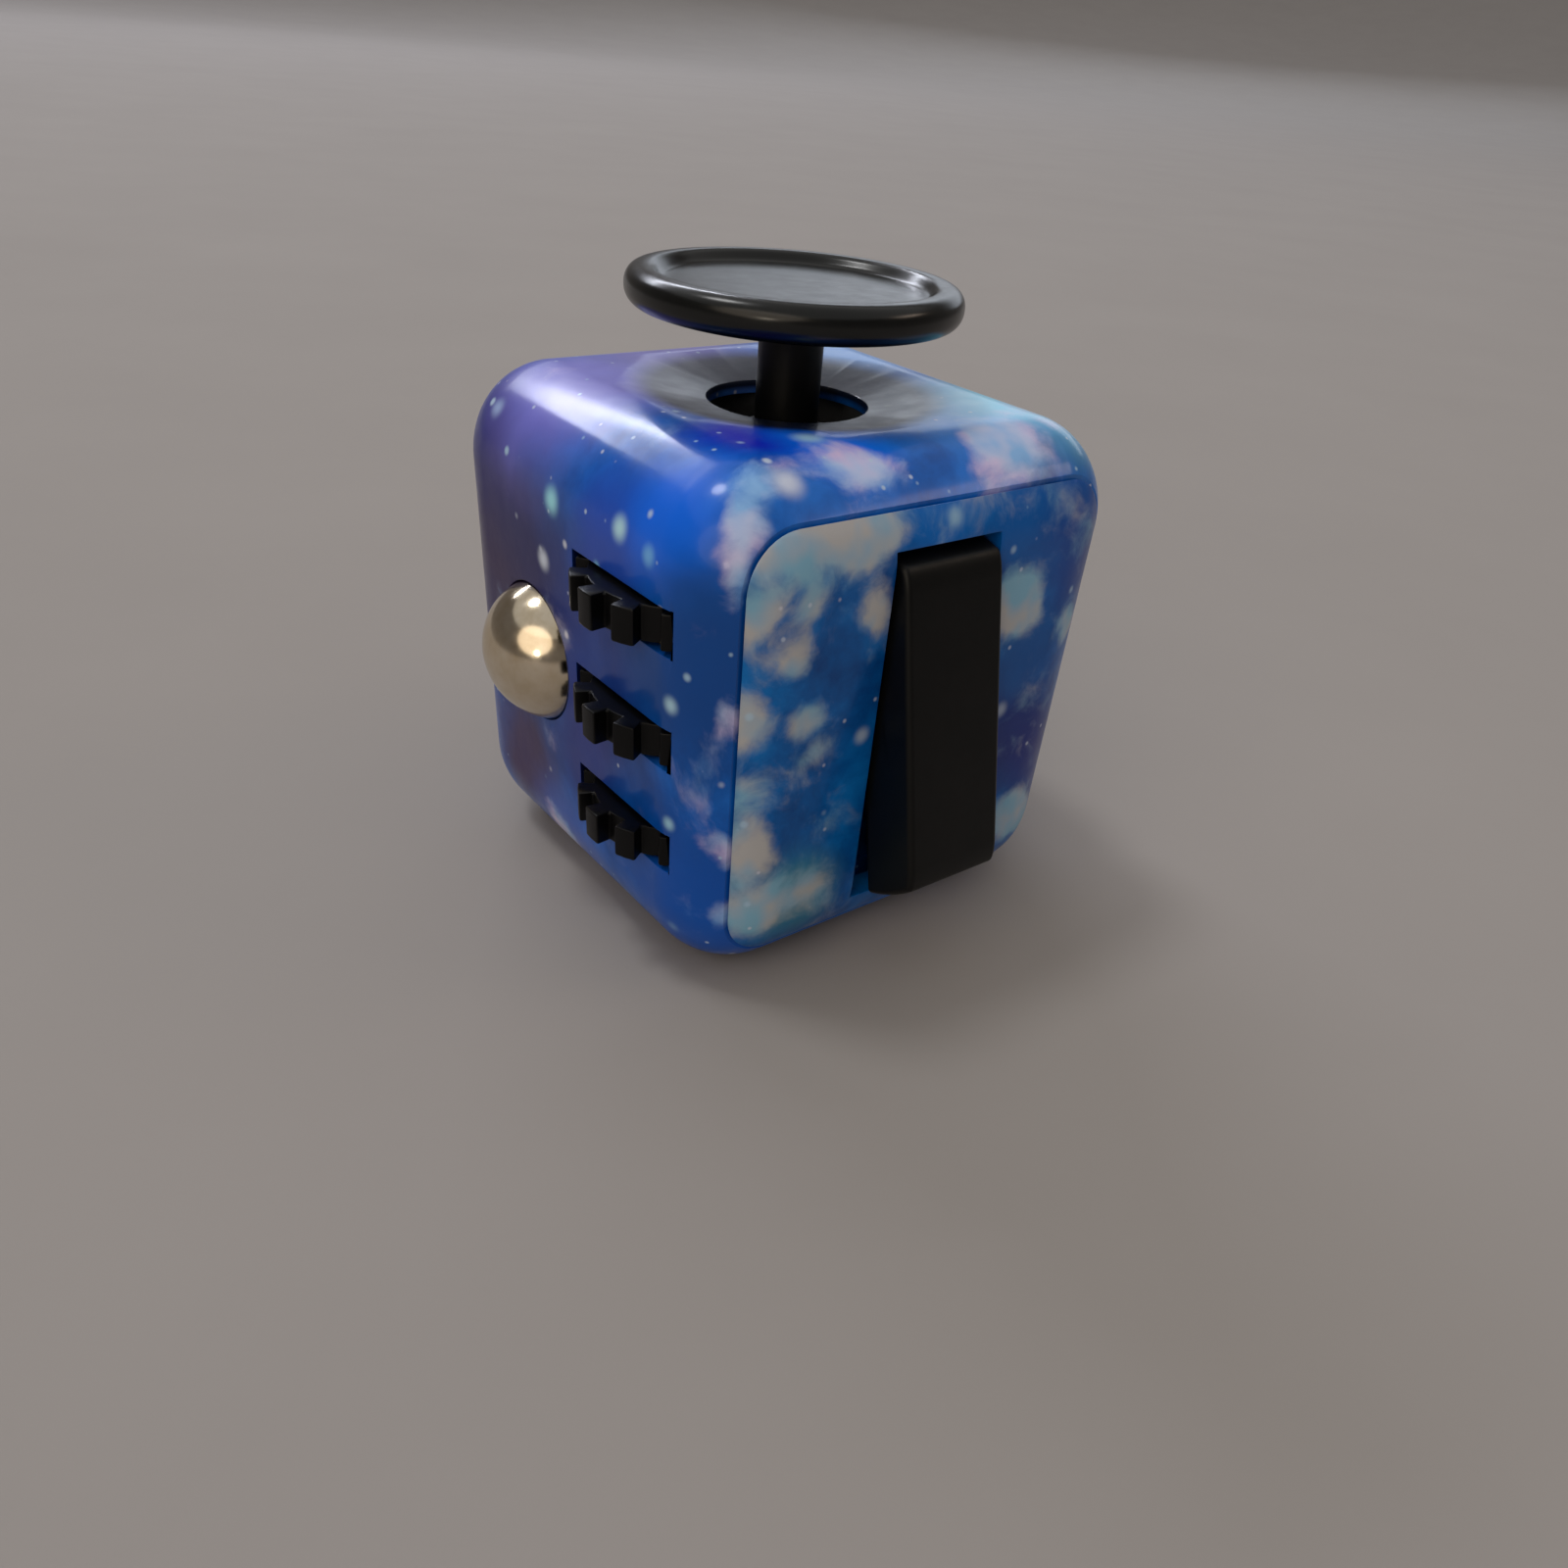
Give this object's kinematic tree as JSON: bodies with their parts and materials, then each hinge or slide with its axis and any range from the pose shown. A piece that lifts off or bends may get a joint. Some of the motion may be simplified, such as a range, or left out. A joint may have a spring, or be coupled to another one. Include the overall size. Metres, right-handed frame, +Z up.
{
  "type": "fidget cube",
  "caption": "Rounded pocket cube with a tilting joystick, flip rocker, toothed wheels, rolling ball, push buttons, spin dial and thumb dish.",
  "frame": {"origin": "on the flat base, under the middle of the bounding box", "axes": "+Z up out of the joystick face, -Y out of the rocker face, -X out of the gear and ball face"},
  "size_m": [0.0394, 0.0398, 0.0393],
  "materials": {
    "printed_shell": "moulded ABS with a hydro-dipped space print under satin clear coat",
    "black_plastic": "satin black moulded ABS",
    "grey_plastic": "plain grey moulded acetal",
    "steel": "plain zinc-plated steel",
    "polished_steel": "polished bearing steel",
    "rubber": "matt silicone rubber",
    "board": "green fibreglass board"
  },
  "bodies": {
    "casing": {"main_shell": "printed_shell", "switch_cover": "printed_shell", "button_cover": "printed_shell", "joystick_housing": "grey_plastic", "joystick_follower": "grey_plastic", "joystick_spring": "steel", "housing_screw_1": "steel", "housing_screw_2": "steel", "housing_screw_3": "steel", "housing_screw_4": "steel", "rocker_pin_left": "steel", "rocker_pin_right": "steel", "rocker_detent_bracket": "grey_plastic", "bracket_screw_1": "steel", "bracket_screw_2": "steel", "gear_shaft": "steel", "gear_spacer_upper": "grey_plastic", "gear_spacer_lower": "grey_plastic", "ball_housing": "grey_plastic", "ball_spring": "steel", "button_board": "board", "snap_dome_1": "steel", "rubber_dome_2": "rubber", "snap_dome_3": "steel", "rubber_dome_4": "rubber", "snap_dome_5": "steel", "board_screw_1": "steel", "board_screw_2": "steel", "board_screw_3": "steel", "dial_washer": "steel", "dial_detent_spring": "steel"},
    "gimbal": {"gimbal_ring": "grey_plastic"},
    "joystick": {"joystick_stem": "black_plastic", "joystick_disc": "black_plastic", "joystick_cross_pin": "steel"},
    "rocker": {"flip_rocker": "black_plastic", "rocker_plunger": "grey_plastic", "rocker_spring": "steel"},
    "upper_gear": {"gear_upper": "black_plastic"},
    "middle_gear": {"gear_middle": "black_plastic"},
    "lower_gear": {"gear_lower": "black_plastic"},
    "cup": {"ball_cup": "grey_plastic"},
    "ball": {"steel_ball": "polished_steel"},
    "button_a": {"button_1": "black_plastic"},
    "button_b": {"button_2": "black_plastic"},
    "button_c": {"button_3": "black_plastic"},
    "button_d": {"button_4": "black_plastic"},
    "button_e": {"button_5": "black_plastic"},
    "dial": {"dial_knob": "black_plastic", "dial_ratchet": "grey_plastic", "dial_screw": "steel"}
  },
  "joints": [
    {"name": "joystick_tilt_x", "type": "hinge", "parent": "casing", "child": "gimbal", "pos_m": [0, 0.00166, 0.0235], "axis": [1, 0, 0], "range_deg": [-12, 12], "stiffness_Nm_per_rad": 0.03, "deforming": ["joystick_spring"]},
    {"name": "joystick_tilt_y", "type": "hinge", "parent": "gimbal", "child": "joystick", "pos_m": [0, 0.00166, 0.0235], "axis": [0, 1, 0], "range_deg": [-12, 12], "stiffness_Nm_per_rad": 0.03},
    {"name": "rocker_flip", "type": "hinge", "parent": "casing", "child": "rocker", "pos_m": [0, -0.01184, 0.0165], "axis": [1, 0, 0], "range_deg": [0, 26.8]},
    {"name": "upper_gear_spin", "type": "hinge", "parent": "casing", "child": "upper_gear", "pos_m": [-0.0124, -0.00494, 0.0165], "axis": [0, 0, 1], "continuous": true},
    {"name": "middle_gear_spin", "type": "hinge", "parent": "casing", "child": "middle_gear", "pos_m": [-0.0124, -0.00494, 0.0165], "axis": [0, 0, 1], "continuous": true},
    {"name": "lower_gear_spin", "type": "hinge", "parent": "casing", "child": "lower_gear", "pos_m": [-0.0124, -0.00494, 0.0165], "axis": [0, 0, 1], "continuous": true},
    {"name": "ball_press", "type": "slide", "parent": "casing", "child": "cup", "axis": [1, 0, 0], "range_m": [0, 0.001], "stiffness_N_per_m": 1500, "deforming": ["ball_spring"]},
    {"name": "ball_roll", "type": "hinge", "parent": "cup", "child": "ball", "pos_m": [-0.0151, 0.00626, 0.01675], "axis": [0, 0, 1], "continuous": true},
    {"name": "button_a_press", "type": "slide", "parent": "casing", "child": "button_a", "axis": [0, -1, 0], "range_m": [0, 0.0012], "stiffness_N_per_m": 1200, "deforming": ["snap_dome_1"]},
    {"name": "button_b_press", "type": "slide", "parent": "casing", "child": "button_b", "axis": [0, -1, 0], "range_m": [0, 0.0012], "stiffness_N_per_m": 700, "deforming": ["rubber_dome_2"]},
    {"name": "button_c_press", "type": "slide", "parent": "casing", "child": "button_c", "axis": [0, -1, 0], "range_m": [0, 0.0012], "stiffness_N_per_m": 1200, "deforming": ["snap_dome_3"]},
    {"name": "button_d_press", "type": "slide", "parent": "casing", "child": "button_d", "axis": [0, -1, 0], "range_m": [0, 0.0012], "stiffness_N_per_m": 700, "deforming": ["rubber_dome_4"]},
    {"name": "button_e_press", "type": "slide", "parent": "casing", "child": "button_e", "axis": [0, -1, 0], "range_m": [0, 0.0012], "stiffness_N_per_m": 1200, "deforming": ["snap_dome_5"]},
    {"name": "dial_spin", "type": "hinge", "parent": "casing", "child": "dial", "pos_m": [0, 0.00166, 0.0165], "axis": [1, 0, 0], "continuous": true}
  ]
}
